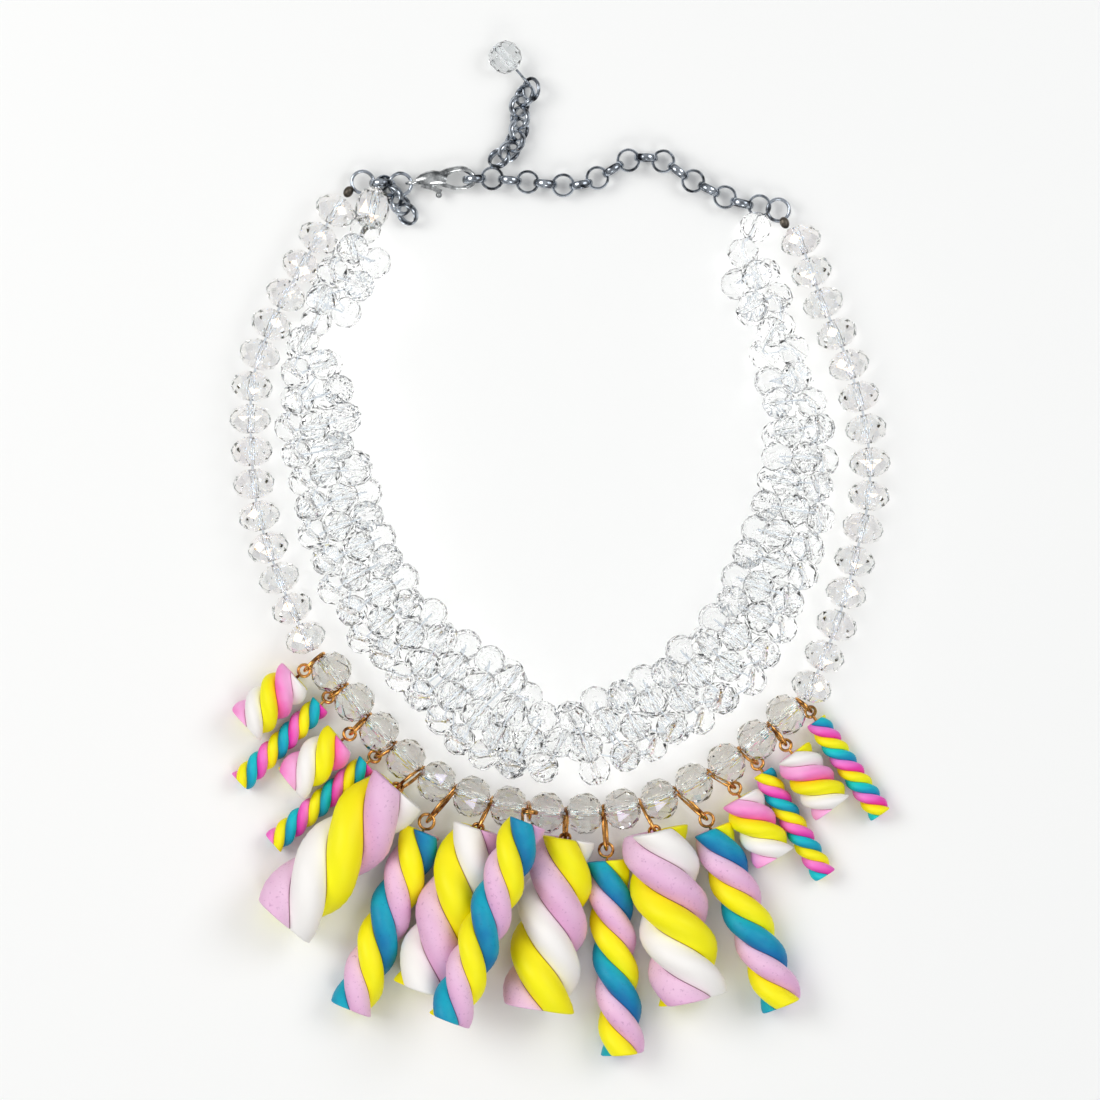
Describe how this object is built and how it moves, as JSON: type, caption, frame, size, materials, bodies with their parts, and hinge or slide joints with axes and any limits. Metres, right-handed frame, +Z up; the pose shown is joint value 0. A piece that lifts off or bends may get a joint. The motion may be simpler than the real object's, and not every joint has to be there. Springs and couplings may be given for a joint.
{
  "type": "charm necklace with polymer clay marshmallow twists and glass beads",
  "caption": "Clasped necklace laid flat: clear faceted glass bead strands with long twisted marshmallow charms in coloured polymer clay hung on gold rings.",
  "frame": {"origin": "middle of the object's box, on the surface it lies on", "axes": "+Z up out of the surface, +Y towards the back of the neck where the clasp is, +X to the right in the picture"},
  "size_m": [0.1654, 0.254, 0.0266],
  "materials": {
    "polymer_clay": "matt baked clay in yellow, white, lilac, pink and teal",
    "clear_glass": "cut and polished",
    "gold_plate": "polished gold plate",
    "dark_steel": "polished dark silver"
  },
  "bodies": {
    "root": {"clay_twist_01": "polymer_clay", "clay_twist_02": "polymer_clay", "clay_twist_03": "polymer_clay", "clay_twist_04": "polymer_clay", "clay_twist_05": "polymer_clay", "clay_twist_06": "polymer_clay", "clay_twist_07": "polymer_clay", "clay_twist_08": "polymer_clay", "clay_twist_09": "polymer_clay", "clay_twist_10": "polymer_clay", "clay_twist_11": "polymer_clay", "clay_twist_12": "polymer_clay", "clay_twist_13": "polymer_clay", "clay_twist_14": "polymer_clay", "clay_twist_15": "polymer_clay", "clay_twist_16": "polymer_clay", "wire_eye_01": "gold_plate", "wire_eye_02": "gold_plate", "wire_eye_03": "gold_plate", "wire_eye_04": "gold_plate", "wire_eye_05": "gold_plate", "wire_eye_06": "gold_plate", "wire_eye_07": "gold_plate", "wire_eye_08": "gold_plate", "wire_eye_09": "gold_plate", "wire_eye_10": "gold_plate", "wire_eye_11": "gold_plate", "wire_eye_12": "gold_plate", "wire_eye_13": "gold_plate", "wire_eye_14": "gold_plate", "wire_eye_15": "gold_plate", "wire_eye_16": "gold_plate", "jump_ring_01": "gold_plate", "jump_ring_02": "gold_plate", "jump_ring_03": "gold_plate", "jump_ring_04": "gold_plate", "jump_ring_05": "gold_plate", "jump_ring_06": "gold_plate", "jump_ring_07": "gold_plate", "jump_ring_08": "gold_plate", "jump_ring_09": "gold_plate", "jump_ring_10": "gold_plate", "jump_ring_11": "gold_plate", "jump_ring_12": "gold_plate", "jump_ring_13": "gold_plate", "jump_ring_14": "gold_plate", "jump_ring_15": "gold_plate", "jump_ring_16": "gold_plate", "left_crimp": "gold_plate", "right_crimp": "gold_plate", "front_beads": "clear_glass", "left_rondelles": "clear_glass", "right_rondelles": "clear_glass", "bead_rope_left": "clear_glass", "bead_rope_right": "clear_glass", "dangle_bead": "clear_glass", "neck_chain": "dark_steel", "clasp_chain": "dark_steel", "clasp": "dark_steel", "dangle_pin": "dark_steel"}
  },
  "joints": []
}
